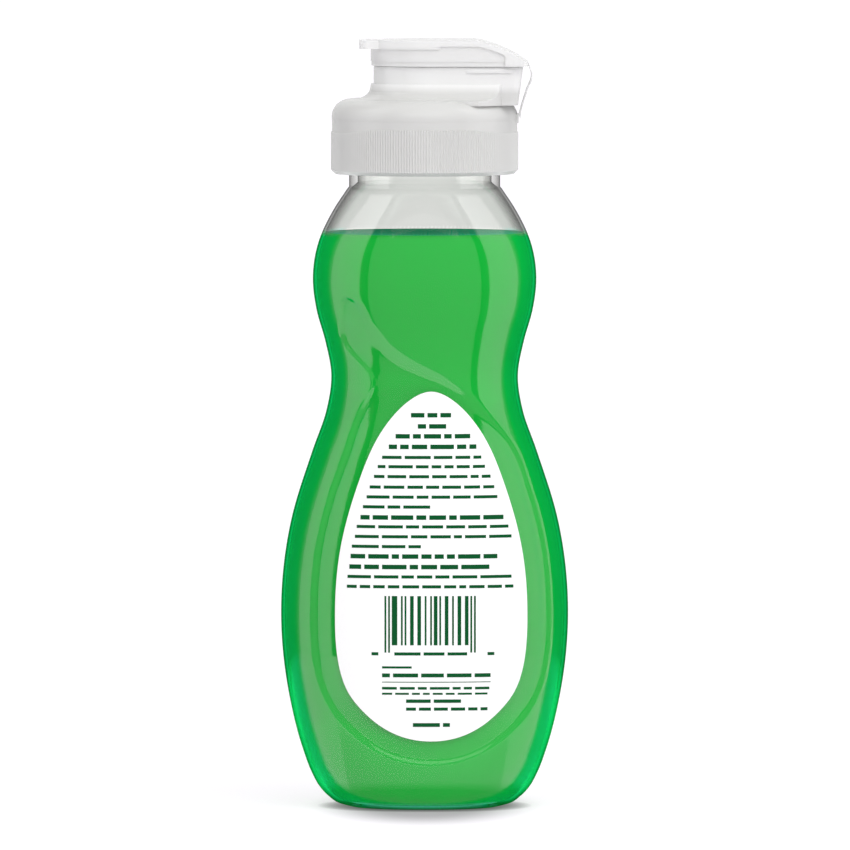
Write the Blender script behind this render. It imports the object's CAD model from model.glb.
# %% [markdown]
# # A small bottle of green dish soap
#
# The object is a blown clear bottle with a waist, filled with green soap, with a paper-white
# label on each broad face and a milky flip-top cap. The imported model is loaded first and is
# the fixed frame: every piece below is made in its millimetres and rides on one of its bodies.

# %% Load the frame
import math
import random

import bmesh
import bpy
import numpy as np
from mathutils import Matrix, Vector
from mathutils.geometry import delaunay_2d_cdt
from mathutils.kdtree import KDTree


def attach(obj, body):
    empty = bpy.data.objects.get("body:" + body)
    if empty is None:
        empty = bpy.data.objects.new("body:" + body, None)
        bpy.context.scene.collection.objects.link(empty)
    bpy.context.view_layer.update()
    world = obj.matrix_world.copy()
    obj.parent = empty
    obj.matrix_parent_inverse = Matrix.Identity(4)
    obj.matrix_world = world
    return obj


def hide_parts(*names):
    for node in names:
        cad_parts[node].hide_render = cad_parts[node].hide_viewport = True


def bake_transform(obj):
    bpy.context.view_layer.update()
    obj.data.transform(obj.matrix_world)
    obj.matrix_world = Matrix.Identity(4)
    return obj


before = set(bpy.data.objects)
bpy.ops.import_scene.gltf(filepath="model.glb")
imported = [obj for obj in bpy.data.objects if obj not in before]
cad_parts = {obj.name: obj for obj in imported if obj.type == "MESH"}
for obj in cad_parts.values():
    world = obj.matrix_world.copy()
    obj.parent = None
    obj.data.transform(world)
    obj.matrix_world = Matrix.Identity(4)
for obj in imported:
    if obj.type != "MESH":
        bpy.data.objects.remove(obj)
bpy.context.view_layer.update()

MM = 0.001

# %% [markdown]
# ## Small helpers for materials
#
# Colours are chosen as sRGB hex codes, as they would be picked from a swatch, and Blender wants
# them linear. The other helpers add one node each, with its settings and its links, so that a
# material reads from top to bottom.

# %% Colour and node helpers


def colour(code):
    channels = [int(code[at:at + 2], 16) / 255 for at in (1, 3, 5)]
    linear = [c / 12.92 if c <= 0.04045 else ((c + 0.055) / 1.055) ** 2.4 for c in channels]
    return (*linear, 1.0)


def add(tree, kind, inputs=None, **settings):
    node = tree.nodes.new(kind)
    for name, value in settings.items():
        setattr(node, name, value)
    for socket, value in (inputs or {}).items():
        if isinstance(value, bpy.types.NodeSocket):
            tree.links.new(value, node.inputs[socket])
        else:
            node.inputs[socket].default_value = value
    return node


def new_material(name):
    material = bpy.data.materials.new(name)
    material.use_nodes = True
    material.node_tree.nodes.clear()
    return material, material.node_tree


def surface(tree, shader):
    add(tree, "ShaderNodeOutputMaterial", {"Surface": shader.outputs[0]})


def maths(tree, operation, first, second=0.0, **settings):
    node = add(tree, "ShaderNodeMath", {0: first, 1: second}, operation=operation, **settings)
    return node.outputs[0]


def remap(tree, value, source, target, **settings):
    """The value carried from one range to another and held at the ends."""
    return add(tree, "ShaderNodeMapRange", {
        "Value": value, "From Min": source[0], "From Max": source[1],
        "To Min": target[0], "To Max": target[1],
    }, **settings).outputs[0]


def between(tree, share, low, high):
    """A value between two values."""
    return add(tree, "ShaderNodeMix", {"Factor": share, "A": low, "B": high}).outputs[0]


def tone(tree, share, low, high):
    """A colour between two, each a hex code or a colour from another node."""
    low, high = [colour(end) if isinstance(end, str) else end for end in (low, high)]
    mixed = add(tree, "ShaderNodeMix", {"Factor": share, "A": low, "B": high}, data_type="RGBA")
    return mixed.outputs["Result"]


def noise(tree, size, detail):
    """Noise fixed to the object, with cells of this size in millimetres."""
    place = add(tree, "ShaderNodeTexCoord")
    return add(tree, "ShaderNodeTexNoise", {
        "Vector": place.outputs["Object"], "Scale": 1 / (size * MM), "Detail": detail,
    }).outputs[0]


def relief(tree, height, strength, depth):
    """Fine bumps of this depth in millimetres."""
    return add(tree, "ShaderNodeBump", {
        "Height": height, "Strength": strength, "Distance": depth * MM,
    }).outputs[0]


# %% [markdown]
# ## Camera
#
# The bottle is seen square on to its broad face, from a little above, through a long lens, so
# its sides hardly converge. The picture's scale was read from the object: one pixel is 0.163 mm.

# %% Place the camera
IMAGE_SIDE = 850
PIXEL_SIZE = 0.163 * MM
AXIS_PIXEL_X = 424.6
STANDING_PIXEL_Y = 806.4
CAMERA_DISTANCE = 2.5
CAMERA_ELEVATION = math.radians(3.0)
SENSOR_WIDTH = 36.0
CLIP_NEAR, CLIP_FAR = 0.1, 20
SEE_THROUGH_LAYERS = 24

aim = Vector((
    (IMAGE_SIDE / 2 - AXIS_PIXEL_X) * PIXEL_SIZE,
    0,
    (STANDING_PIXEL_Y - IMAGE_SIDE / 2) * PIXEL_SIZE,
))
backward = Vector((0, -math.cos(CAMERA_ELEVATION), math.sin(CAMERA_ELEVATION)))
camera_data = bpy.data.cameras.new("camera")
camera_data.sensor_width = SENSOR_WIDTH
camera_data.lens = SENSOR_WIDTH * CAMERA_DISTANCE / (IMAGE_SIDE * PIXEL_SIZE)
camera_data.clip_start = CLIP_NEAR
camera_data.clip_end = CLIP_FAR
camera = bpy.data.objects.new("camera", camera_data)
camera.location = aim + backward * CAMERA_DISTANCE
camera.rotation_mode = "QUATERNION"
camera.rotation_quaternion = (-backward).to_track_quat("-Z", "Y")
bpy.context.scene.collection.objects.link(camera)
bpy.context.scene.camera = camera
bpy.context.scene.view_settings.view_transform = "Standard"
bpy.context.scene.cycles.transparent_max_bounces = SEE_THROUGH_LAYERS
print("lens, mm:", round(camera_data.lens))

# %% [markdown]
# ## Light
#
# One broad soft sun stands high in front, and the sky lights the rest evenly. The sky is white
# to the eye, in the gloss and behind clear things. Two tall soft boxes left and right draw the
# pale bands down the bottle, a grey flag beside each gives the band its crisp inner edge, and a
# box high in front lights the rounded steps. Boxes and flags work on the gloss alone.

# %% Sky and sun
SKY_LIGHT = 0.52
SUN_LIGHT = 2.05
SUN_SPREAD = math.radians(60)
SUN_ELEVATION = math.radians(48)
SUN_ASIDE = -0.22


def plainly_seen(tree):
    """1 for what the eye, the gloss and clear things show, 0 for what lights dull surfaces."""
    ray = add(tree, "ShaderNodeLightPath")
    direct = maths(tree, "MAXIMUM", ray.outputs["Is Camera Ray"], ray.outputs["Is Transmission Ray"])
    return ray, maths(tree, "MAXIMUM", direct, ray.outputs["Is Glossy Ray"])


world = bpy.data.worlds.new("white studio")
world.use_nodes = True
sky = world.node_tree
sky.nodes.clear()
ray, seen = plainly_seen(sky)
background = add(sky, "ShaderNodeBackground", {
    "Color": colour("#ffffff"), "Strength": between(sky, seen, SKY_LIGHT, 1.0),
})
add(sky, "ShaderNodeOutputWorld", {"Surface": background.outputs[0]})
bpy.context.scene.world = world

sun_data = bpy.data.lights.new("soft_sun", "SUN")
sun_data.energy = SUN_LIGHT
sun_data.angle = SUN_SPREAD
sun = bpy.data.objects.new("soft_sun", sun_data)
sun_way = Vector((SUN_ASIDE, math.cos(SUN_ELEVATION), -math.sin(SUN_ELEVATION)))
sun.rotation_mode = "QUATERNION"
sun.rotation_quaternion = sun_way.to_track_quat("-Z", "Y")
sun.visible_glossy = False
sun.visible_transmission = False
bpy.context.scene.collection.objects.link(sun)

# %% Soft boxes and flags
# distances in metres, turns and spans in degrees
BOX_DISTANCE = 0.6
BOX_HEIGHT = 2.6
BOX_LIGHT = 1.3
BOX_TURN = 79.0
BOX_SPAN = 46.0
HIGH_BOX_RISE = 34
HIGH_BOX_SIZE = (0.6, 0.1)
HIGH_BOX_LIGHT = 1.5
FLAG_TURN = 50.0
FLAG_SPAN = 9.0
FLAG_NEARER = 0.97
MIDDLE_HEIGHT = 0.06
CLOTH_WEAVE = 700.0


def studio_way(turn, rise):
    """Direction from the bottle: degrees to the right of the camera's side, degrees up."""
    turn, rise = math.radians(turn), math.radians(rise)
    flat = math.cos(rise)
    return Vector((flat * math.sin(turn), -flat * math.cos(turn), math.sin(rise)))


def width_of(span):
    """Width that spans these degrees, seen from the bottle."""
    return 2 * BOX_DISTANCE * math.tan(math.radians(span / 2))


def only_for_gloss(thing):
    thing.visible_camera = False
    thing.visible_diffuse = False
    thing.visible_transmission = False
    bpy.context.scene.collection.objects.link(thing)


def soft_box(name, turn, rise, width, height, radiance):
    box_data = bpy.data.lights.new(name, "AREA")
    box_data.shape = "RECTANGLE"
    box_data.size = width
    box_data.size_y = height
    box_data.energy = radiance * math.pi * width * height
    box = bpy.data.objects.new(name, box_data)
    way = studio_way(turn, rise)
    box.location = way * BOX_DISTANCE + Vector((0, 0, MIDDLE_HEIGHT))
    box.rotation_mode = "QUATERNION"
    box.rotation_quaternion = (-way).to_track_quat("-Z", "Y")
    only_for_gloss(box)


def grey_flag(name, turn, width, height, cloth):
    """A tall upright card."""
    way = studio_way(turn, 0)
    across = Vector((way.y, -way.x, 0)) * width / 2
    middle = way * BOX_DISTANCE * FLAG_NEARER - Vector((0, 0, height / 2))
    corners = [middle - across, middle + across]
    corners += [corner + Vector((0, 0, height)) for corner in (corners[1], corners[0])]
    card = bpy.data.meshes.new(name)
    card.from_pydata([tuple(corner) for corner in corners], [], [(0, 1, 2, 3)])
    card.materials.append(cloth)
    flag = bpy.data.objects.new(name, card)
    flag.visible_shadow = False
    only_for_gloss(flag)


flag_cloth, tree = new_material("grey flag cloth")
weave = add(tree, "ShaderNodeTexNoise", {"Scale": CLOTH_WEAVE})
surface(tree, add(tree, "ShaderNodeBsdfDiffuse", {
    "Color": tone(tree, weave.outputs[0], "#8c8c8c", "#949494"),
}))
for side, sign in (("left", -1), ("right", 1)):
    soft_box(side + "_box", sign * BOX_TURN, 0, width_of(BOX_SPAN), BOX_HEIGHT, BOX_LIGHT)
    grey_flag(side + "_flag", sign * FLAG_TURN, width_of(FLAG_SPAN), BOX_HEIGHT, flag_cloth)
soft_box("high_box", 0, HIGH_BOX_RISE, *HIGH_BOX_SIZE, HIGH_BOX_LIGHT)

# %% [markdown]
# ## Floor
#
# A wide pale floor takes the soft shadow. For the eye it is deepest in the narrow gap under the
# heel, and an oval shade about the base fades towards the eye. The paper's own glow brings it to
# the white of the sky. In the gloss it is as white as the sky, apart from a bright round of lit
# paper about the bottle, which lights the swoosh's slanted step and the lower body. To the left
# and right that round is about as bright as the soft boxes, so that the bands run on down.

# %% Lay the floor
# lengths in metres from the bottle's axis, the rest are shares and strengths
FLOOR_SIDE = 12.0
FLOOR_GLOW = 0.8
FLOOR_BOUNCE = 0.66
CONTACT_REACH = 0.0025
CONTACT_DARK = 0.35
SHADE_MIDDLE = -0.002
SHADE_HALF_WIDTH = 0.019
SHADE_HALF_DEPTH = 0.044
SHADE_FADE = (0.4, 1.05)
SHADE_DARK = 0.44
ROUND_EDGE = (0.176, 0.184)
ROUND_MIDDLE = (0.045, 0.09)
ROUND_LIGHT = (1.65, 2.5)
UNDER_HEEL = (0.017, 0.021)
UNDER_DARK = 0.3
SIDE_SLOPE = 1.45
SIDE_LIGHT = 2.4
CONTACT_SAMPLES = 8
PAPER_FIBRES = 900.0


def eye_shade(tree, spot, ray):
    """The shade that only the eye sees, in the gap under the heel and in an oval about it."""
    gap = add(tree, "ShaderNodeAmbientOcclusion", {"Distance": CONTACT_REACH}, samples=CONTACT_SAMPLES)
    near = remap(tree, gap.outputs["AO"], (0.0, 1.0), (CONTACT_DARK, 1.0))
    on_oval = add(tree, "ShaderNodeMapping", {
        "Vector": spot.outputs["Object"],
        "Location": (0.0, -SHADE_MIDDLE / SHADE_HALF_DEPTH, 0.0),
        "Scale": (1 / SHADE_HALF_WIDTH, 1 / SHADE_HALF_DEPTH, 0.0),
    })
    from_middle = add(tree, "ShaderNodeVectorMath", {0: on_oval.outputs[0]}, operation="LENGTH")
    soft = remap(tree, from_middle.outputs["Value"], SHADE_FADE, (SHADE_DARK, 1.0),
                 interpolation_type="SMOOTHSTEP")
    return between(tree, ray.outputs["Is Camera Ray"], 1.0, maths(tree, "MULTIPLY", near, soft))


def lit_paper(tree, seen, shade):
    """Dull paper with a glow of its own, which is weaker where it lights dull surfaces."""
    part = between(tree, seen, FLOOR_BOUNCE, 1.0)
    glow = maths(tree, "MULTIPLY", part, maths(tree, "MULTIPLY", shade, FLOOR_GLOW))
    fibres = add(tree, "ShaderNodeTexNoise", {"Scale": PAPER_FIBRES, "Detail": 3.0})
    paper_tone = tone(tree, fibres.outputs[0], "#8e8992", "#928d96")
    dull = add(tree, "ShaderNodeBsdfDiffuse", {"Color": tone(tree, shade, "#000000", paper_tone)})
    shine = add(tree, "ShaderNodeEmission", {"Strength": glow})
    return add(tree, "ShaderNodeAddShader", {0: dull.outputs[0], 1: shine.outputs[0]})


def paper_in_gloss(tree, spot):
    """A bright round about the bottle, and the white studio beyond it."""
    far = add(tree, "ShaderNodeVectorMath", {0: spot.outputs["Object"]}, operation="LENGTH")
    reach = far.outputs["Value"]
    place = add(tree, "ShaderNodeSeparateXYZ", {0: spot.outputs["Object"]})
    across, depth = (maths(tree, "ABSOLUTE", place.outputs[axis]) for axis in (0, 1))
    aside = maths(tree, "GREATER_THAN", across, maths(tree, "MULTIPLY", depth, SIDE_SLOPE))
    level = remap(tree, reach, ROUND_MIDDLE, ROUND_LIGHT)
    all_round = between(tree, aside, level, SIDE_LIGHT)
    under = remap(tree, reach, UNDER_HEEL, (UNDER_DARK, 1.0))
    glow = add(tree, "ShaderNodeEmission", {"Strength": maths(tree, "MULTIPLY", all_round, under)})
    beyond = add(tree, "ShaderNodeBsdfTransparent")
    lit = remap(tree, reach, ROUND_EDGE, (1.0, 0.0))
    return add(tree, "ShaderNodeMixShader", {0: lit, 1: beyond.outputs[0], 2: glow.outputs[0]})


paper, tree = new_material("white studio paper")
ray, seen = plainly_seen(tree)
spot = add(tree, "ShaderNodeTexCoord")
only_gloss = maths(
    tree, "SUBTRACT", ray.outputs["Is Glossy Ray"], ray.outputs["Is Transmission Ray"], use_clamp=True,
)
surface(tree, add(tree, "ShaderNodeMixShader", {
    0: only_gloss,
    1: lit_paper(tree, seen, eye_shade(tree, spot, ray)).outputs[0],
    2: paper_in_gloss(tree, spot).outputs[0],
}))

half = FLOOR_SIDE / 2
corners = [(-half, -half, 0), (half, -half, 0), (half, half, 0), (-half, half, 0)]
floor_mesh = bpy.data.meshes.new("floor")
floor_mesh.from_pydata(corners, [], [(0, 1, 2, 3)])
floor = bpy.data.objects.new("floor", floor_mesh)
floor_mesh.materials.append(paper)
bpy.context.scene.collection.objects.link(floor)

# %% [markdown]
# ## The bottle's form
#
# A blown bottle is one smooth skin. Its section is an oval between an ellipse and a rectangle,
# given at a few heights, with smooth curves between them. The same form at a greater inset is
# the inside of the wall, and a little deeper it is the skin of the soap.

# %% Sections of the bottle
STATIONS = np.array([
    # height, half width, half depth, squareness
    (0.0, 12.0, 9.5, 2.2),
    (0.5, 13.9, 11.3, 2.2),
    (1.5, 15.5, 12.8, 2.25),
    (2.9, 16.9, 13.9, 2.3),
    (5.5, 18.4, 14.9, 2.4),
    (9.2, 19.8, 15.7, 2.45),
    (17.3, 21.9, 16.7, 2.5),
    (31.2, 23.4, 17.3, 2.5),
    (46.7, 21.75, 16.8, 2.45),
    (58.1, 18.25, 15.6, 2.4),
    (64.6, 16.0, 14.6, 2.35),
    (70.3, 15.2, 14.2, 2.3),
    (76.0, 16.2, 14.6, 2.3),
    (81.0, 17.6, 15.3, 2.3),
    (86.6, 18.2, 15.7, 2.25),
    (92.3, 17.2, 15.3, 2.2),
    (97.2, 14.9, 14.0, 2.1),
    (100.8, 12.55, 12.55, 2.0),
])
HEEL_TOP = STATIONS[5][0]
CREASE = STATIONS[-1][0]
WALL = 0.5
LIQUID_GAP = 0.05
COLUMNS = 160


def cubic(part, start, end, leave, arrive, span):
    """Places on smooth curves between two ends, from the slopes at both."""
    return (
        (2 * part ** 3 - 3 * part ** 2 + 1) * start
        + (part ** 3 - 2 * part ** 2 + part) * leave * span
        + (3 * part ** 2 - 2 * part ** 3) * end
        + (part ** 3 - part ** 2) * arrive * span
    )


def section_at(height, inset):
    """Half width, half depth and squareness at these heights, by cubic curves."""
    height = np.asarray(height, float)
    knots = STATIONS[:, 0] + inset * np.maximum(0.0, 1 - STATIONS[:, 0] / HEEL_TOP)
    low = np.clip(np.searchsorted(knots, height, side="right") - 1, 0, len(knots) - 2)
    span = knots[low + 1] - knots[low]
    part = (height - knots[low]) / span
    values = []
    for place in (1, 2, 3):
        column = STATIONS[:, place] - (inset if place < 3 else 0)
        slope = np.gradient(column, knots, edge_order=1)
        values.append(cubic(part, column[low], column[low + 1], slope[low], slope[low + 1], span))
    return values


def skin(turn, height, inset, sunk=0.0):
    """Points of the bottle's skin at these angles and heights."""
    half_width, half_depth, squareness = section_at(height, inset)
    across = np.cos(turn)
    out = np.sin(turn)
    reach = (np.abs(across) ** squareness + np.abs(out) ** squareness) ** (-1 / squareness)
    x = (half_width - sunk) * across * reach
    y = (half_depth - sunk) * out * reach
    return np.stack([x, y, height + np.zeros_like(x)], axis=-1)


def face_depth(x, height, sunk):
    """How far the broad face stands from the middle plane."""
    half_width, half_depth, squareness = section_at(height, 0.0)
    share = np.minimum(np.abs(x) / (half_width - sunk), 1.0)
    return (half_depth - sunk) * (1 - share ** squareness) ** (1 / squareness)


def turn_on_face(x, height, inset, sunk):
    """The angle at which the front skin has this place across."""
    half_width, half_depth, squareness = section_at(height, inset)
    share = np.clip(x / (half_width - sunk), -1, 1)
    rest = (1 - np.abs(share) ** squareness) ** (1 / squareness)
    return np.arctan2(-rest, share) % (2 * math.pi)


print("widest, mm:", round(2 * float(STATIONS[:, 1].max()), 2))

# %% [markdown]
# ## The sunk panel
#
# Each broad face has a shallow panel round its egg-shaped label. The panel's upper edge leaves
# the egg and climbs to the upper left as a swoosh, and its slanted border is what catches the
# light. The border is drawn as nested closed curves: each has its own share of the depth, so the
# slope starts and ends with a small round.

# %% Curves of the label and the panel
LABEL_OUTLINE = [
    # height above the lower tip, half width
    (0.8, 4.9),
    (2.8, 8.7),
    (5.1, 11.3),
    (7.8, 13.4),
    (11.7, 14.85),
    (19.5, 15.6),
    (30.8, 14.8),
    (42.5, 11.6),
    (48.8, 8.9),
    (52.6, 6.3),
    (55.2, 3.6),
]
LABEL_HEIGHT = 56.7
LABEL_BOTTOM = 11.6
LABEL_CENTRE_X = 1.07
PANEL_DEPTH = 0.55
PANEL_MARGIN = 4.0
PANEL_BORDER = 1.0
EGG_POINTS = 32
CURVE_STEPS = 24
SWOOSH_OUTLINE = [
    # place across, height, width of the slanted border
    (-10.2, 66.2, 0.9),
    (-8.6, 69.8, 0.7),
    (-10.4, 72.6, 0.8),
    (-13.0, 75.4, 0.9),
    (-13.9, 79.6, 0.9),
    (-12.9, 83.6, 0.9),
    (-10.6, 82.9, 1.2),
    (-8.7, 80.1, 1.9),
    (-6.3, 76.9, 2.3),
    (-3.4, 74.4, 2.4),
    (0.0, 72.6, 2.3),
    (3.8, 70.7, 2.1),
    (7.5, 67.9, 1.8),
    (10.9, 64.4, 1.4),
]
SWOOSH_JOIN = 62.5


def smooth_loop(points, count):
    """A closed cubic curve through the points, as count evenly spread places."""
    points = np.array(points, float)
    number = len(points)
    step = np.linalg.norm(np.roll(points, -1, 0) - points, axis=1)
    rows = np.zeros((number, number))
    right = np.zeros(points.shape)
    for here in range(number):
        after = (here + 1) % number
        rows[here, here - 1] += step[here]
        rows[here, here] += 2 * (step[here - 1] + step[here])
        rows[here, after] += step[here - 1]
        right[here] = 3 * (
            step[here] / step[here - 1] * (points[here] - points[here - 1])
            + step[here - 1] / step[here] * (points[after] - points[here])
        )
    slope = np.linalg.solve(rows, right)
    part = np.linspace(0, 1, CURVE_STEPS, endpoint=False)[None, :, None]
    start, end = points[:, None], np.roll(points, -1, 0)[:, None]
    leave, arrive = slope[:, None], np.roll(slope, -1, 0)[:, None]
    curve = cubic(part, start, end, leave, arrive, step[:, None, None]).reshape(-1, 2)
    return evenly(curve, count)


def evenly(curve, count):
    """Count places at equal steps along a closed line."""
    closed = np.vstack([curve, curve[:1]])
    length = np.concatenate([[0], np.cumsum(np.linalg.norm(np.diff(closed, axis=0), axis=1))])
    wanted = np.linspace(0, length[-1], count, endpoint=False)
    return np.stack([np.interp(wanted, length, closed[:, k]) for k in (0, 1)], axis=1)


def egg_loop(margin, count):
    """The label's outline, moved outward by the margin."""
    right = [(LABEL_CENTRE_X + half, LABEL_BOTTOM + up) for up, half in LABEL_OUTLINE]
    left = [(LABEL_CENTRE_X - half, LABEL_BOTTOM + up) for up, half in LABEL_OUTLINE]
    corners = [(LABEL_CENTRE_X, LABEL_BOTTOM)] + right
    corners += [(LABEL_CENTRE_X, LABEL_BOTTOM + LABEL_HEIGHT)] + left[::-1]
    loop = smooth_loop(corners, 4 * count)
    along = np.roll(loop, -1, 0) - np.roll(loop, 1, 0)
    outward = np.stack([along[:, 1], -along[:, 0]], axis=1)
    outward /= np.linalg.norm(outward, axis=1)[:, None]
    return evenly(loop + margin * outward, count)


def panel_outline():
    """Outer line of the border with its widths, clockwise from the swoosh's lower left."""
    egg = egg_loop(PANEL_MARGIN, EGG_POINTS)
    middle = LABEL_BOTTOM + LABEL_HEIGHT / 2
    clockwise = np.arctan2(egg[:, 0] - LABEL_CENTRE_X, egg[:, 1] - middle) % (2 * math.pi)
    kept = [point for point in egg[np.argsort(clockwise)] if point[1] < SWOOSH_JOIN]
    return SWOOSH_OUTLINE + [(x, z, PANEL_BORDER) for x, z in kept]


def border_line(outline, share, extra, count):
    """A closed line inside the border: share of its width from the outer line, plus extra."""
    moved = []
    for at, (x, z, width) in enumerate(outline):
        before = outline[at - 1]
        after = outline[(at + 1) % len(outline)]
        along_x, along_z = after[0] - before[0], after[1] - before[1]
        length = math.hypot(along_x, along_z)
        distance = width * share + extra
        moved.append((x + distance * along_z / length, z - distance * along_x / length))
    return smooth_loop(moved, count)


BORDER_STEPS = [
    # share of the border's width, extra distance, share of the panel's depth
    (0.0, -0.3, 0.0),
    (0.06, 0.0, 0.03),
    (0.3, 0.0, 0.27),
    (0.7, 0.0, 0.73),
    (0.94, 0.0, 0.97),
    (1.0, 0.3, 1.0),
]
outline = panel_outline()
print("points on the panel's outline:", len(outline))

# %% [markdown]
# ## Meshing a skin with a panel
#
# A plain grid would cut the slanted border into steps. So the skin is unrolled, the grid points
# near the border are replaced by points that lie on its curves, and a Delaunay triangulation
# joins them all. The ends of the grid keep their columns, so that a base and a neck fit on.

# %% Unrolled skin to mesh
UNROLL_RADIUS = 18.0
CLEARANCE = 0.55
MERGE = 1e-7
columns = np.arange(COLUMNS) / COLUMNS * 2 * math.pi


def inside(points, loop):
    """True for the points that lie inside the closed line."""
    x, z = points[:, 0][:, None], points[:, 1][:, None]
    x1, z1 = loop[:, 0][None], loop[:, 1][None]
    x2, z2 = np.roll(loop, -1, 0)[:, 0][None], np.roll(loop, -1, 0)[:, 1][None]
    crosses = (z1 > z) != (z2 > z)
    with np.errstate(divide="ignore", invalid="ignore"):
        place = (x2 - x1) * (z - z1) / (z2 - z1) + x1
    return (crosses & (x < place)).sum(axis=1) % 2 == 1


def border_places(lines):
    """A search tree over all points of the border's lines."""
    places = [(x, 0, z) for loop, sunk in lines for x, z in loop]
    border = KDTree(len(places))
    for at, place in enumerate(places):
        border.insert(place, at)
    border.balance()
    return border


def grid_places(inset, heights, lines):
    """Angle, height and depth of each grid point that stays clear of the border."""
    border = border_places(lines)
    kept = []
    for height in heights:
        row = skin(columns, np.full(COLUMNS, height), inset)
        face_x = np.where(row[:, 1] < 0, row[:, 0], -row[:, 0])
        places = np.stack([face_x, row[:, 2]], axis=1)
        in_outer, in_inner = inside(places, lines[0][0]), inside(places, lines[-1][0])
        end = height in (heights[0], heights[-1])
        for turn, place, near, deep in zip(columns, places, in_outer, in_inner):
            close = border.find((place[0], 0, place[1]))[2] < CLEARANCE
            if end or not (close or near != deep):
                kept.append((turn, height, PANEL_DEPTH if deep else 0.0))
    return kept


def line_places(inset, lines):
    """Angle, height and depth of each point on the border, on both broad faces."""
    kept = []
    for loop, sunk in lines:
        turns = turn_on_face(loop[:, 0], loop[:, 1], inset, sunk)
        for half_turn in (0, math.pi):
            on_face = (turns + half_turn) % (2 * math.pi)
            kept += [(turn, level, sunk) for turn, level in zip(on_face, loop[:, 1])]
    return kept


def panelled_skin(inset, heights, line_points):
    """Points and triangles of the skin between the first and last height."""
    lines = []
    for share, extra, depth in BORDER_STEPS:
        loop = border_line(outline, share, extra, line_points)
        lines.append((loop, depth * PANEL_DEPTH))
    places = np.array(grid_places(inset, heights, lines) + line_places(inset, lines))
    seam = places[places[:, 0] < math.pi / COLUMNS] + [2 * math.pi, 0, 0]
    turns, levels, depths = np.vstack([places, seam]).T
    flat = [Vector((turn * UNROLL_RADIUS, level)) for turn, level in zip(turns, levels)]
    result = delaunay_2d_cdt(flat, [], [], 0, MERGE)
    origin = [ids[0] for ids in result[3]]
    return skin(turns[origin], levels[origin], inset, depths[origin]), result[2]


# %% [markdown]
# ## Collecting patches into one closed mesh
#
# Skins, rings and caps are added to one list of points and faces. At the end the points that
# coincide are welded, the normals are turned outward and smooth shading is cut at sharp edges.

# %% Patch helpers
WELD = 1e-6
SHARP = math.radians(38)


class Shape:
    def __init__(self):
        self.points = []
        self.faces = []
        self.finishes = []

    def patch(self, points, faces, finish=0):
        """Adds points and the faces between them."""
        start = len(self.points)
        self.points.extend(tuple(point) for point in points)
        self.faces.extend(tuple(start + at for at in face) for face in faces)
        self.finishes.extend([finish] * len(faces))

    def rings(self, rows, finish=0):
        """Adds a band of quads through rings with as many points."""
        count = len(rows[0])
        faces = []
        for low in range(len(rows) - 1):
            for at in range(count):
                after = (at + 1) % count
                faces.append((
                    low * count + at, low * count + after,
                    (low + 1) * count + after, (low + 1) * count + at,
                ))
        self.patch(np.vstack(rows), faces, finish)

    def fan(self, ring, centre, finish=0):
        """Closes a ring with triangles that meet at its centre."""
        count = len(ring)
        points = list(ring) + [centre]
        self.patch(points, [(at, (at + 1) % count, count) for at in range(count)], finish)

    def piece(self, name, materials, body, node):
        """Welds all to one mesh, puts it on its body and lets it replace a CAD node."""
        mesh = bpy.data.meshes.new(name)
        mesh.from_pydata([Vector(point) * MM for point in self.points], [], self.faces)
        mesh.polygons.foreach_set("material_index", self.finishes)
        for material in materials:
            mesh.materials.append(material)
        work = bmesh.new()
        work.from_mesh(mesh)
        bmesh.ops.remove_doubles(work, verts=work.verts, dist=WELD)
        bmesh.ops.dissolve_degenerate(work, edges=work.edges, dist=WELD)
        bmesh.ops.recalc_face_normals(work, faces=work.faces)
        open_edges = sum(1 for edge in work.edges if len(edge.link_faces) != 2)
        triangles = sum(len(face.verts) - 2 for face in work.faces)
        work.to_mesh(mesh)
        work.free()
        mesh.polygons.foreach_set("use_smooth", [True] * len(mesh.polygons))
        mesh.set_sharp_from_angle(angle=SHARP)
        made = bpy.data.objects.new(name, mesh)
        bpy.context.scene.collection.objects.link(made)
        if body:
            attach(made, body)
        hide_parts(node)
        print(name, "triangles", triangles, "open edges", open_edges)
        return made


# %% [markdown]
# ## Finish of the bottle
#
# The bottle is clear PET, stretch-blown against a polished mould: a glossy skin with a slow
# waviness. Its wall is half a millimetre thin, so it hardly bends what is behind it. That makes
# a plain see-through layer with a Fresnel gloss the right choice, and refraction is left to the
# thick body of soap. Where the wall turns away from the eye, light runs a long way inside it:
# the dry wall ends in a dark line, and the wall that soap wets fills with the soap's green.

# %% Clear PET
PET_GLOSS = 0.034
WETTED_GLOSS = 0.002
PET_ROUGHNESS = (0.01, 0.03)
GRAZING_GLOSS = 0.8
WETTED_GRAZING = 0.05
WAVE_LENGTH = 14.0
WAVE_STRENGTH = 0.2
WAVE_DEPTH = 0.1
FRESNEL_POWER = 5.0
# each list gives shares of the turn away from the eye, and the colour there
DRY_TINTS = [(0.0, "#f6f7f5"), (0.5, "#f0f1ef"), (0.8, "#cacac8"), (0.93, "#909090"), (1.0, "#28282a")]
WET_TINTS = [(0.0, "#fbfcfb"), (0.36, "#f8fbf8"), (0.46, "#80ffee"), (0.72, "#50eeb0"), (1.0, "#009850")]
INNER_TINTS = [(0.0, "#ffffff"), (1.0, "#ffffff")]
DRY_SHINE = [(0.08, "#8a8a8a"), (0.13, "#ffffff"), (0.5, "#ffffff"), (0.8, "#b0b0b0"), (1.0, "#28282a")]
WET_SHINE = [(0.0, "#ffffff"), (0.38, "#ffffff"), (0.44, "#209c50"), (0.8, "#0a9c44"), (1.0, "#007820")]


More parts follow.
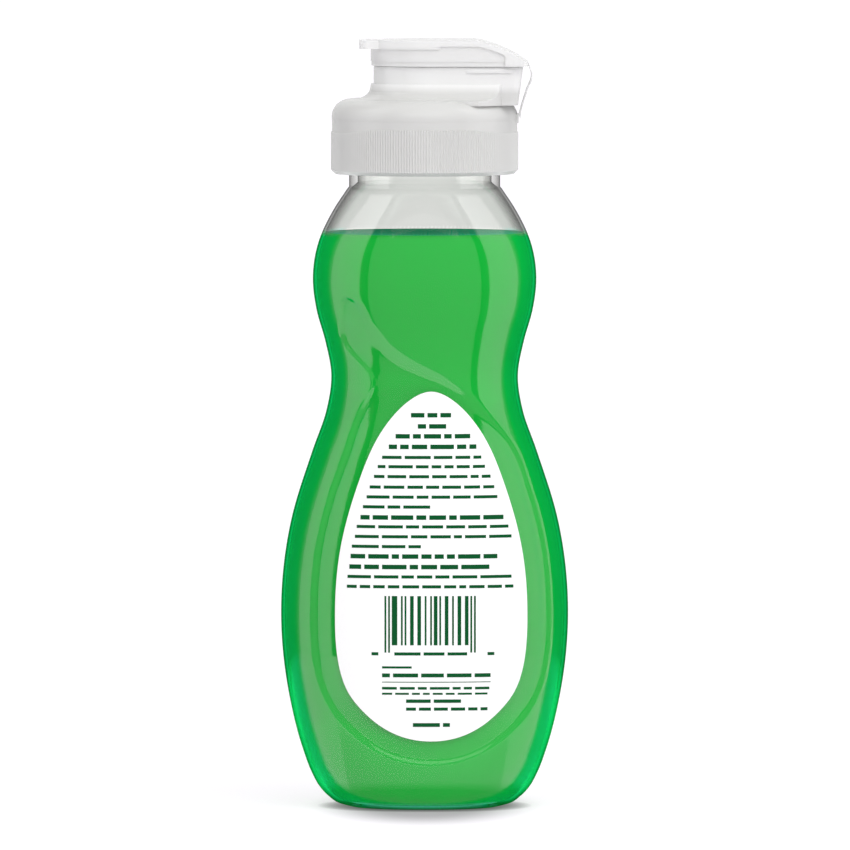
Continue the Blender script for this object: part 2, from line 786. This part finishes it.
def ramp(tree, value, tints):
    """A colour that changes with the value through the given shares."""
    tones = add(tree, "ShaderNodeValToRGB", {0: value})
    stops = tones.color_ramp.elements
    while len(stops) < len(tints):
        stops.new(0.5)
    for stop, (share, code) in zip(stops, tints):
        stop.position = share
    for stop, (share, code) in zip(stops, tints):
        stop.color = colour(code)
    return tones.outputs[0]


def clear_pet(name, head_on, grazing, tints, shine):
    material, tree = new_material(name)
    waves = noise(tree, WAVE_LENGTH, 1.0)
    turned = add(tree, "ShaderNodeLayerWeight", {"Blend": 0.5}).outputs["Facing"]
    gloss = add(tree, "ShaderNodeBsdfGlossy", {
        "Color": ramp(tree, turned, shine),
        "Roughness": remap(tree, waves, (0.0, 1.0), PET_ROUGHNESS),
        "Normal": relief(tree, waves, WAVE_STRENGTH, WAVE_DEPTH),
    })
    through = add(tree, "ShaderNodeBsdfTransparent", {"Color": ramp(tree, turned, tints)})
    steep = maths(tree, "POWER", turned, FRESNEL_POWER)
    share = remap(tree, steep, (0.0, 1.0), (head_on, grazing))
    surface(tree, add(tree, "ShaderNodeMixShader", {
        0: share, 1: through.outputs[0], 2: gloss.outputs[0],
    }))
    return material


dry_pet = clear_pet("clear PET, stretch-blown", PET_GLOSS, GRAZING_GLOSS, DRY_TINTS, DRY_SHINE)
wet_pet = clear_pet("clear PET over soap", PET_GLOSS, GRAZING_GLOSS, WET_TINTS, WET_SHINE)
inner_pet = clear_pet(
    "clear PET, inside wetted by soap", WETTED_GLOSS, WETTED_GRAZING, INNER_TINTS, WET_SHINE,
)

# %% [markdown]
# ## The bottle
#
# Outside and inside skins are two runs of the same function, half a millimetre apart. The base
# has a low dome pushed up in its middle, so the bottle stands on a ring. The neck is turned, and
# its three-start thread is a ridge whose height depends on how far a point lies from the helix.

# %% Build the bottle wall
PUSH_UP_HALF_WIDTH = 10.6
PUSH_UP_HALF_DEPTH = 7.5
PUSH_UP_RISE = 3.6
PUSH_UP_ROWS = 14
NECK_RADIUS = 12.3
NECK_BORE_RADIUS = 10.9
NECK_TOP = 113.0
NECK_LIP_CHAMFER = 0.4
THREAD_STARTS = 3
THREAD_LEAD = 12.7
THREAD_HEIGHT = 1.2
THREAD_ROOT_WIDTH = 1.7
THREAD_CREST_WIDTH = 0.9
THREAD_BOTTOM = 105.0
THREAD_TURN = 158.7
THREAD_FADE = 9.0
FILL_HEIGHT = 93.5
NECK_START, NECK_STEP = 0.25, 0.2
BORE_START = 1
HEEL_ROWS = [0, 0.1, 0.25, 0.5, 0.75, 1.1, 1.5, 2.0, 2.4, 2.9, 3.7, 4.6, 5.5, 6.4, 7.3, 8.2, 9.2]
OUTER_STEP, OUTER_LINE_POINTS = 0.95, 420
INNER_STEP, INNER_LINE_POINTS = 1.3, 300


def round_ring(radius, height):
    ring = np.stack([np.cos(columns), np.sin(columns)], axis=1)
    radius = np.asarray(radius, float) + np.zeros(COLUMNS)
    return np.column_stack([ring * radius[:, None], np.full(COLUMNS, float(height))])


def thread_reach(height):
    """How far the thread stands out at each column of a ring at this height."""
    reach = np.zeros(COLUMNS)
    angles = np.degrees(columns)
    for start in range(THREAD_STARTS):
        along = (angles - 360 / THREAD_STARTS * start) % 360
        away = np.abs(height - THREAD_BOTTOM - THREAD_LEAD * along / 360)
        slope = (THREAD_ROOT_WIDTH - THREAD_CREST_WIDTH) / 2
        ridge = np.clip((THREAD_ROOT_WIDTH / 2 - away) / slope, 0, 1)
        ends = np.clip(np.minimum(along, THREAD_TURN - along) / THREAD_FADE, 0, 1)
        reach = np.maximum(reach, THREAD_HEIGHT * ridge * ends)
    return reach


def base(shape, inset, finish):
    """The standing ring and the dome pushed up in its middle."""
    rim = skin(columns, np.full(COLUMNS, inset), inset)
    half_width = PUSH_UP_HALF_WIDTH + inset
    half_depth = PUSH_UP_HALF_DEPTH + inset
    rise = PUSH_UP_RISE + inset
    first = math.asin(inset / rise)
    rows = [rim]
    for angle in np.linspace(first, math.pi / 2, PUSH_UP_ROWS)[:-1]:
        dome = round_ring(math.cos(angle), rise * math.sin(angle))
        dome[:, 0] *= half_width
        dome[:, 1] *= half_depth
        if angle == first:
            rows.append((rim + dome) / 2)
        rows.append(dome)
    shape.rings(rows, finish)
    shape.fan(rows[-1], (0, 0, rise), finish)


def body_rows(inset, top, step):
    """Heights of the rings: close together in the heel, then about a step apart."""
    low = [inset + row * (1 - inset / HEEL_TOP) for row in HEEL_ROWS]
    count = int((top - HEEL_TOP) / step)
    return low + list(np.linspace(HEEL_TOP, top, count + 1)[1:])


def split_at_fill(shape, points, faces, below, above):
    """Adds a skin whose faces under the fill line have another finish."""
    height = np.array([points[list(face), 2].mean() for face in faces])
    for low, finish in ((True, below), (False, above)):
        chosen = [face for face, level in zip(faces, height) if (level < FILL_HEIGHT) == low]
        shape.patch(points, chosen, finish)


DRY, WET, INNER = 0, 1, 2
bottle = Shape()
outer_rows = body_rows(0.0, CREASE, OUTER_STEP)
split_at_fill(bottle, *panelled_skin(0.0, outer_rows, OUTER_LINE_POINTS), WET, DRY)
base(bottle, 0.0, WET)
neck_rows = [skin(columns, np.full(COLUMNS, CREASE), 0.0)]
for height in np.arange(CREASE + NECK_START, NECK_TOP - NECK_LIP_CHAMFER, NECK_STEP):
    neck_rows.append(round_ring(NECK_RADIUS + thread_reach(height), height))
for radius, height in (
    (NECK_RADIUS, NECK_TOP - NECK_LIP_CHAMFER),
    (NECK_RADIUS - NECK_LIP_CHAMFER, NECK_TOP),
    (NECK_BORE_RADIUS, NECK_TOP),
    (NECK_BORE_RADIUS, CREASE + BORE_START),
):
    neck_rows.append(round_ring(radius, height))
neck_rows.append(skin(columns, np.full(COLUMNS, CREASE), WALL))
bottle.rings(neck_rows)
inner_rows = body_rows(WALL, CREASE, INNER_STEP)
split_at_fill(bottle, *panelled_skin(WALL, inner_rows, INNER_LINE_POINTS), INNER, DRY)
base(bottle, WALL, INNER)
finishes = [dry_pet, wet_pet, inner_pet]
bottle.piece("bottle_wall", finishes, "bottle", "bottle_shell")

# %% [markdown]
# ## The soap
#
# Dish soap is a clear green liquid. Seen against white its body is an even green, with a darker
# outline where the surface turns away, and only a hint of what lies behind. So part of its light
# goes straight through and the rest is scattered, as by the fine haze of a thick liquid. Its top
# is flat and climbs the wall a little, as liquids do.

# %% Green soap
SOAP_IOR = 1.36
SOAP_INSET = WALL + LIQUID_GAP
SOAP_STEP, SOAP_LINE_POINTS = 1.1, 340
SOAP_ROUGHNESS = 0.12
SOAP_CLEARNESS = 0.28
SOAP_SPECULAR = 0.1
SOAP_CLOUD = 30
TOP_CLOUD = 9
TOP_GLOSS = 0.12
TOP_ROUGHNESS = 0.1
TOP_SHARES = (0.8, 0.5, 0.2)
MENISCUS = [
    # distance from the wall, climb
    (0.0, 0.15),
    (0.1, 0.09),
    (0.3, 0.04),
    (0.7, 0.01),
    (1.3, 0.0),
]

green_soap, tree = new_material("green dish soap, clear liquid")
surface(tree, add(tree, "ShaderNodeBsdfPrincipled", {
    "Base Color": tone(tree, noise(tree, SOAP_CLOUD, 1.0), "#06c43e", "#0ac842"),
    "Roughness": SOAP_ROUGHNESS, "IOR": SOAP_IOR,
    "Transmission Weight": SOAP_CLEARNESS, "Specular IOR Level": SOAP_SPECULAR,
}))

soap_top, tree = new_material("green dish soap, surface under air")
dull = add(tree, "ShaderNodeBsdfDiffuse", {
    "Color": tone(tree, noise(tree, TOP_CLOUD, 1.0), "#20d094", "#2ad89c"),
})
shine = add(tree, "ShaderNodeBsdfGlossy", {"Color": colour("#2c7a54"), "Roughness": TOP_ROUGHNESS})
surface(tree, add(tree, "ShaderNodeMixShader", {0: TOP_GLOSS, 1: dull.outputs[0], 2: shine.outputs[0]}))

soap = Shape()
soap_rows = body_rows(SOAP_INSET, FILL_HEIGHT + MENISCUS[0][1], SOAP_STEP)
soap.patch(*panelled_skin(SOAP_INSET, soap_rows, SOAP_LINE_POINTS))
base(soap, SOAP_INSET, 0)
surface_rows = []
for distance, climb in MENISCUS:
    ring = skin(columns, np.full(COLUMNS, soap_rows[-1]), SOAP_INSET + distance)
    ring[:, 2] = FILL_HEIGHT + climb
    surface_rows.append(ring)
level = surface_rows[-1]
surface_rows += [level * [share, share, 1] for share in TOP_SHARES]
soap.rings(surface_rows, 1)
soap.fan(surface_rows[-1], (0, 0, FILL_HEIGHT), 1)
soap.piece("soap_body", [green_soap, soap_top], "bottle", "dish_soap")

# %% [markdown]
# ## Labels
#
# A label is white film, smooth and slightly glossy, stuck on the sunk panel. Its print is one
# dark green. The rows of small type become plain bars of the same lengths, and the block of
# upright bars keeps its place, so that the label reads as a directions label with no words.

# %% Film and ink
LABEL_THICKNESS = 0.12
LABEL_GAP = 0.03
PRINT_THICKNESS = 0.03
PRINT_RELIEF = 0.01
PRINT_BUMP = 0.3
FILM_IOR = 1.45
EDGE_CLEARANCE = 0.4
LABEL_POINTS = 240
LABEL_SPACING = 0.9
LABEL_UNDER = PANEL_DEPTH - LABEL_GAP
LABEL_OVER = LABEL_UNDER - LABEL_THICKNESS
PRINT_UNDER = LABEL_OVER
PRINT_OVER = PRINT_UNDER - PRINT_THICKNESS


def label_finish(name, tints, roughness, grain, gloss):
    material, tree = new_material(name)
    speckle = noise(tree, grain, 2.0)
    surface(tree, add(tree, "ShaderNodeBsdfPrincipled", {
        "Base Color": tone(tree, speckle, *tints), "Roughness": roughness, "IOR": FILM_IOR,
        "Specular IOR Level": gloss, "Normal": relief(tree, speckle, PRINT_BUMP, PRINT_RELIEF),
    }))
    return material


white_film = label_finish(
    "white polypropylene film, printed", ("#fbfbfa", "#ffffff"), roughness=0.34, grain=0.5, gloss=0.4,
)
green_ink = label_finish(
    "dark green flexo ink", ("#004a22", "#005227"), roughness=0.42, grain=0.3, gloss=0.12,
)
pale_ink = label_finish(
    "light green flexo ink", ("#3fae55", "#46b65c"), roughness=0.42, grain=0.3, gloss=0.12,
)


def sheet(shape, loop, under, over, spacing, far_face):
    """A closed sheet with this outline, between two depths on the sunk panel."""
    low, high = loop.min(axis=0), loop.max(axis=0)
    across = np.arange(low[0] + spacing / 2, high[0], spacing)
    up = np.arange(low[1] + spacing / 2, high[1], spacing)
    grid = np.array([(x, z) for x in across for z in up]).reshape(-1, 2)
    kept = [
        point for point in grid[inside(grid, loop)]
        if np.linalg.norm(loop - point, axis=1).min() > EDGE_CLEARANCE * spacing
    ]
    flat = np.vstack([loop, *kept])
    result = delaunay_2d_cdt([Vector(point) for point in flat], [], [], 0, MERGE)
    origin = [ids[0] for ids in result[3]]
    flat = flat[origin]
    sign = 1 if far_face else -1
    layers = []
    for depth in (under, over):
        out = face_depth(flat[:, 0], flat[:, 1], depth)
        layers.append(np.column_stack([-sign * flat[:, 0], sign * out, flat[:, 1]]))
        shape.patch(layers[-1], result[2])
    rim = [origin.index(at) for at in range(len(loop))]
    shape.rings([layers[0][rim], layers[1][rim]])


def printed(shape, loop, spacing, far_face=False):
    """A thin layer of ink on the film."""
    sheet(shape, loop, PRINT_UNDER, PRINT_OVER, spacing, far_face)


def bar_loop(left, right, low, high, step=1.0):
    """The outline of an upright rectangle, with points at most a step apart."""
    across = np.linspace(left, right, max(2, int((right - left) / step) + 2))
    up = np.linspace(low, high, max(2, int((high - low) / step) + 2))
    lower = [(x, low) for x in across[:-1]]
    right_side = [(right, z) for z in up[:-1]]
    upper = [(x, high) for x in across[::-1][:-1]]
    left_side = [(left, z) for z in up[::-1][:-1]]
    return np.array(lower + right_side + upper + left_side)


for node, far_face in (("back_label", False), ("front_label", True)):
    film = Shape()
    sheet(film, egg_loop(0.0, LABEL_POINTS), LABEL_UNDER, LABEL_OVER, LABEL_SPACING, far_face)
    film.piece(node + "_film", [white_film], "bottle", node)

# %% [markdown]
# The rows of type are split into words of uneven length by a seeded draw, so that each run gives
# the same print. Bold rows are thicker.

# %% Print of the directions label
PLAIN = 0.5
BOLD = 0.72
TYPE_ROWS = [
    # height, left end, right end, thickness of the stroke
    (64.5, -2.2, 4.3, BOLD),
    (62.7, -1.1, 3.5, BOLD),
    (61.1, -4.7, 7.4, BOLD),
    (59.4, -5.8, 8.4, BOLD),
    (57.7, -6.9, 9.2, PLAIN),
    (56.2, -7.6, 9.8, PLAIN),
    (54.6, -8.2, 10.7, PLAIN),
    (52.9, -8.9, 11.3, PLAIN),
    (51.3, -9.4, 11.8, PLAIN),
    (49.7, -10.0, 0.9, PLAIN),
    (48.0, -10.4, 12.8, BOLD),
    (46.5, -11.0, 13.6, PLAIN),
    (44.9, -11.3, 14.1, PLAIN),
    (43.3, -11.8, -0.6, PLAIN),
    (41.7, -12.0, 11.8, BOLD),
    (40.0, -12.2, 10.5, BOLD),
    (38.4, -12.5, 14.1, PLAIN),
    (36.8, -12.6, 14.4, PLAIN),
    (25.9, -8.6, -7.5, PLAIN),
    (25.9, -4.9, 6.9, PLAIN),
    (25.9, 10.2, 11.3, PLAIN),
    (23.7, -6.9, -2.1, 0.35),
    (22.4, -6.9, 10.7, 0.62),
    (20.3, -6.9, 10.5, 0.42),
    (19.4, -6.9, 10.2, 0.32),
    (18.2, -3.0, 5.9, 0.55),
    (16.9, -3.0, 10.2, PLAIN),
    (14.3, -1.9, 4.1, 0.62),
]
WORD_SHORT = 1.1
WORD_LONG = 4.4
WORD_GAP = 0.5
RULE = (-6.9, 10.7, 21.24, 21.36)
CODE_LEFT, CODE_RIGHT = -6.5, 8.6
CODE_LOW, CODE_HIGH = 27.3, 35.3
CODE_GUARD_DROP = 1.2
CODE_MODULES = 51
CODE_GUARDS = (3, 45)
BAR_SPACING = 2.0
CODE_SPACING, CODE_STEP = 3.0, 1.5
WORD_SEED = 7


def words(left, right, draw):
    """Word-long stretches between the two ends of a row."""
    stretches = []
    here = left
    while right - here > WORD_SHORT:
        length = draw.uniform(WORD_SHORT, WORD_LONG)
        end = here + length
        if right - end < WORD_SHORT + WORD_GAP:
            end = right
        stretches.append((here, end))
        here = end + WORD_GAP
    return stretches or [(left, right)]


draw = random.Random(WORD_SEED)
type_print = Shape()
for height, left, right, stroke in TYPE_ROWS:
    for start, end in words(left, right, draw):
        loop = bar_loop(start, end, height - stroke / 2, height + stroke / 2)
        printed(type_print, loop, BAR_SPACING)
printed(type_print, bar_loop(*RULE), BAR_SPACING)
module = (CODE_RIGHT - CODE_LEFT) / CODE_MODULES
at = 0
while at < CODE_MODULES:
    guard = at < CODE_GUARDS[0] or at >= CODE_GUARDS[1]
    width = 1 if guard else draw.choice((1, 1, 2, 3))
    width = min(width, CODE_MODULES - at)
    low = CODE_LOW - (CODE_GUARD_DROP if guard else 0)
    left = CODE_LEFT + at * module
    loop = bar_loop(left, left + width * module, low, CODE_HIGH, CODE_STEP)
    printed(type_print, loop, CODE_SPACING)
    at += width + (1 if guard else draw.choice((1, 2, 2)))
type_print.piece("directions_print", [green_ink], "bottle", "back_label")

# %% [markdown]
# The far label isn't in the picture. It gets a plain design of the same kind: a green ring that
# follows the label's edge, a blank bar where a name would be, and a few bubbles.

# %% Print of the far label
RING_MARGIN = 1.3
RING_WIDTH = 0.7
RING_POINTS = 200
NAME_BAR = (-8.6, 10.7, 44.6, 49.0)
NAME_SPACING, NAME_STEP = 0.8, 0.7
FAR_ROWS = [
    # height, left end, right end
    (40.6, -6.4, 8.6),
    (38.2, -4.6, 6.8),
]
FAR_STROKE = 0.8
BUBBLE_SPACING, BUBBLE_POINTS = 1.2, 16
BUBBLES = [
    # place across, height, radius
    (-3.4, 22.6, 2.3),
    (3.6, 25.4, 1.6),
    (6.6, 21.8, 1.0),
    (-0.6, 28.6, 1.1),
    (4.4, 31.0, 0.7),
]


def round_loop(x, z, radius):
    count = max(BUBBLE_POINTS, int(radius * BUBBLE_POINTS))
    turn = np.arange(count) / count * 2 * math.pi
    return np.stack([x + radius * np.cos(turn), z + radius * np.sin(turn)], axis=1)


def hoop(shape, outer, inner):
    """A closed flat hoop of ink between two outlines with as many points."""
    corners = (
        (outer, PRINT_UNDER), (inner, PRINT_UNDER), (inner, PRINT_OVER),
        (outer, PRINT_OVER), (outer, PRINT_UNDER),
    )
    rows = []
    for loop, depth in corners:
        out = face_depth(loop[:, 0], loop[:, 1], depth)
        rows.append(np.column_stack([-loop[:, 0], out, loop[:, 1]]))
    shape.rings(rows)


far_dark = Shape()
hoop(far_dark, egg_loop(-RING_MARGIN, RING_POINTS), egg_loop(-RING_MARGIN - RING_WIDTH, RING_POINTS))
printed(far_dark, bar_loop(*NAME_BAR, NAME_STEP), NAME_SPACING, True)
for height, left, right in FAR_ROWS:
    for start, end in words(left, right, draw):
        loop = bar_loop(start, end, height - FAR_STROKE / 2, height + FAR_STROKE / 2)
        printed(far_dark, loop, BAR_SPACING, True)
far_dark.piece("far_label_print", [green_ink], "bottle", "front_label")
far_pale = Shape()
for x, z, radius in BUBBLES:
    printed(far_pale, round_loop(x, z, radius), BUBBLE_SPACING, True)
far_pale.piece("far_label_bubbles", [pale_ink], "bottle", "front_label")

# %% [markdown]
# ## Milky polypropylene
#
# The cap, the lid and the strap are one moulding of natural polypropylene. It is milky: light
# enters, scatters and leaves again, and a thin wall lets the shapes behind it show as a ghost.
# So most of the light is scattered inside, and a small share goes straight through.

# %% Finish of the cap
PP_IOR = 1.49
PP_ROUGHNESS = 0.27
PP_SCATTER = 0.35
PP_SCATTER_REACH = 0.0012
PP_SCATTER_TINT = (1.0, 1.0, 0.95)
PP_GRAIN, PP_GRAIN_DEPTH = 0.35, 0.02
PP_GRAIN_STRENGTH = 0.15
PP_CLOUD = 9
# heights in millimetres: solid collar below, thin tower above
THICK_BELOW = 116.4
THIN_ABOVE = 117.6
THIN_TONE = "#f5f5f4"
FOAM_CELL, FOAM_DENT, FOAM_BUMP = 0.4, 0.08, 0.5
FOAM_ROUGHNESS = 0.85


def milky_pp(name, tints, through):
    material, tree = new_material(name)
    place = add(tree, "ShaderNodeTexCoord")
    axes = add(tree, "ShaderNodeSeparateXYZ", {0: place.outputs["Object"]})
    tower = remap(tree, axes.outputs[2], (THICK_BELOW * MM, THIN_ABOVE * MM), (0.0, 1.0))
    body = add(tree, "ShaderNodeBsdfPrincipled", {
        "Base Color": tone(tree, tower, tone(tree, noise(tree, PP_CLOUD, 1.0), *tints), THIN_TONE),
        "Roughness": PP_ROUGHNESS, "IOR": PP_IOR,
        "Subsurface Weight": PP_SCATTER, "Subsurface Scale": PP_SCATTER_REACH,
        "Subsurface Radius": PP_SCATTER_TINT,
        "Normal": relief(tree, noise(tree, PP_GRAIN, 2.0), PP_GRAIN_STRENGTH, PP_GRAIN_DEPTH),
    })
    clear = add(tree, "ShaderNodeBsdfTransparent", {"Color": colour("#ffffff")})
    surface(tree, add(tree, "ShaderNodeMixShader", {
        0: through, 1: body.outputs[0], 2: clear.outputs[0],
    }))
    return material


cap_pp = milky_pp("natural polypropylene, injection moulded", ("#dbdbd9", "#dfdfdd"), through=0.12)
lid_pp = milky_pp("natural polypropylene, thin wall", ("#efefee", "#f2f2f1"), through=0.22)

foam, tree = new_material("polyethylene foam liner")
place = add(tree, "ShaderNodeTexCoord")
cells = add(tree, "ShaderNodeTexVoronoi", {
    "Vector": place.outputs["Object"], "Scale": 1 / (FOAM_CELL * MM),
})
surface(tree, add(tree, "ShaderNodeBsdfPrincipled", {
    "Base Color": colour("#eeeeea"), "Roughness": FOAM_ROUGHNESS,
    "Normal": relief(tree, cells.outputs[0], FOAM_BUMP, FOAM_DENT),
}))

for node, finish in (("closure_cap", cap_pp), ("flip_lid", lid_pp), ("sealing_washer", foam)):
    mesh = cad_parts[node].data
    mesh.materials.clear()
    mesh.materials.append(finish)
    print(node, "faces", len(mesh.polygons))

# %% [markdown]
# ## The hinge strap
#
# A thin band joins the lid's rear edge to the cap. It bows outward when the lid is closed and
# bends as the lid swings, so it is one strip that follows the cap at its foot and the lid at its
# top.

# %% Bend the strap
STRAP_HALF_WIDTH = 2.6
STRAP_SOFT_EDGE = 0.1
STRAP_INNER = [
    # place across, height, from the lid's edge down to the cap's pad
    (16.85, 121.0),
    (17.3, 119.3),
    (16.45, 116.75),
    (15.45, 113.4),
    (15.3, 112.8),
]
STRAP_OUTER = [
    (16.85, 121.3),
    (17.6, 119.3),
    (16.75, 116.75),
    (15.75, 113.3),
    (15.6, 112.1),
]
STRAP_ROWS = 49


def open_curve(points, count):
    """A smooth open line through the points."""
    points = np.array(points, float)
    length = np.concatenate([[0], np.cumsum(np.linalg.norm(np.diff(points, axis=0), axis=1))])
    slope = np.gradient(points, length, axis=0)
    wanted = np.linspace(0, length[-1], count)
    low = np.clip(np.searchsorted(length, wanted, side="right") - 1, 0, len(points) - 2)
    span = (length[low + 1] - length[low])[:, None]
    part = (wanted - length[low])[:, None] / span
    return cubic(part, points[low], points[low + 1], slope[low], slope[low + 1], span)


strap = Shape()
half, narrow = STRAP_HALF_WIDTH, STRAP_HALF_WIDTH - STRAP_SOFT_EDGE
rows = []
for inner, outer in zip(open_curve(STRAP_INNER, STRAP_ROWS), open_curve(STRAP_OUTER, STRAP_ROWS)):
    middle = (inner + outer) / 2
    section = (
        (inner, -narrow), (inner, 0), (inner, narrow), (middle, half),
        (outer, narrow), (outer, 0), (outer, -narrow), (middle, -half),
    )
    rows.append(np.array([(x, aside, z) for (x, z), aside in section]))
strap.rings(rows)
strap.fan(rows[0], rows[0].mean(axis=0))
strap.fan(rows[-1], rows[-1].mean(axis=0))
hinge_strap = strap.piece("hinge_strap", [lid_pp], None, "living_hinge")
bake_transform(hinge_strap)
